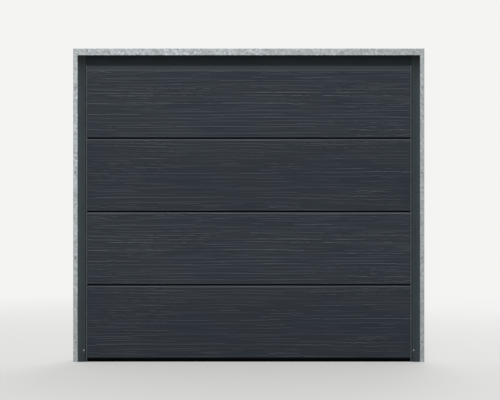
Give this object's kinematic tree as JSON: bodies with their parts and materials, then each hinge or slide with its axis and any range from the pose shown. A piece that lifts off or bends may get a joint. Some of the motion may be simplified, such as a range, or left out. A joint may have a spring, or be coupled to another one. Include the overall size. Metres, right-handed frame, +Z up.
{
  "type": "sectional garage door",
  "caption": "Closed overhead sectional garage door with wood-grain embossed sections, steel frame, double roller tracks and rear torsion spring counterbalance.",
  "frame": {"origin": "middle of the left jamb's wall flange, on the inner face of the wall, at floor level", "axes": "+X across the opening to the right as seen from outside, +Y into the garage along the level tracks, +Z up; the outer side of the leaf faces -Y"},
  "size_m": [2.69, 2.798, 2.46],
  "materials": {
    "galvanised_frame": "hot-dip galvanised, fine spangle",
    "anthracite_coat": "smooth matt polyester coat",
    "smooth_fascia_coat": "smooth matt polyester coat, darker",
    "woodgrain_coat": "polyester coat on wood-grain embossed steel",
    "moulded_foot": "moulded, fine grain",
    "seal_rubber": "extruded EPDM",
    "rail_aluminium": "mill finish",
    "galvanised_fittings": "pressed from galvanised sheet",
    "galvanised_track": "rolled from galvanised strip",
    "zinc_plated_steel": "bright zinc plate",
    "roller_nylon": "moulded nylon",
    "spring_steel": "oil-tempered wire",
    "cast_fittings": "die-cast",
    "pulley_steel": "turned, zinc plated",
    "cable_steel": "stranded, galvanised"
  },
  "bodies": {
    "root": {"left_jamb": "galvanised_frame", "right_jamb": "galvanised_frame", "head_rail": "galvanised_frame", "jamb_cladding": "anthracite_coat", "lintel_fascia": "smooth_fascia_coat", "bottom_section": "woodgrain_coat", "lower_middle_section": "woodgrain_coat", "upper_middle_section": "woodgrain_coat", "top_section": "woodgrain_coat", "jamb_feet": "moulded_foot", "side_seals": "seal_rubber", "lintel_seal": "seal_rubber", "joint_seals": "seal_rubber", "bottom_seal": "seal_rubber", "bottom_seal_rail": "rail_aluminium", "section_end_stiles": "galvanised_fittings", "hinge_lower_leaves": "galvanised_fittings", "hinge_upper_leaves": "galvanised_fittings", "roller_brackets": "galvanised_fittings", "bottom_brackets": "galvanised_fittings", "track_brackets": "galvanised_fittings", "flag_brackets": "galvanised_fittings", "track_splice_plates": "galvanised_fittings", "rear_cross_rail": "galvanised_fittings", "ceiling_hangers": "galvanised_fittings", "bearing_plates": "galvanised_fittings", "centre_bearing_bracket": "galvanised_fittings", "left_vertical_track": "galvanised_track", "right_vertical_track": "galvanised_track", "left_curved_track": "galvanised_track", "right_curved_track": "galvanised_track", "left_horizontal_track": "galvanised_track", "right_horizontal_track": "galvanised_track", "left_top_roller_track": "galvanised_track", "right_top_roller_track": "galvanised_track", "hinge_pins": "zinc_plated_steel", "roller_stems": "zinc_plated_steel", "torsion_shaft": "zinc_plated_steel", "roller_wheels": "roller_nylon", "torsion_springs": "spring_steel", "spring_cones": "cast_fittings", "cable_drums": "cast_fittings", "cable_pulleys": "pulley_steel", "lift_cables": "cable_steel"}
  },
  "joints": []
}
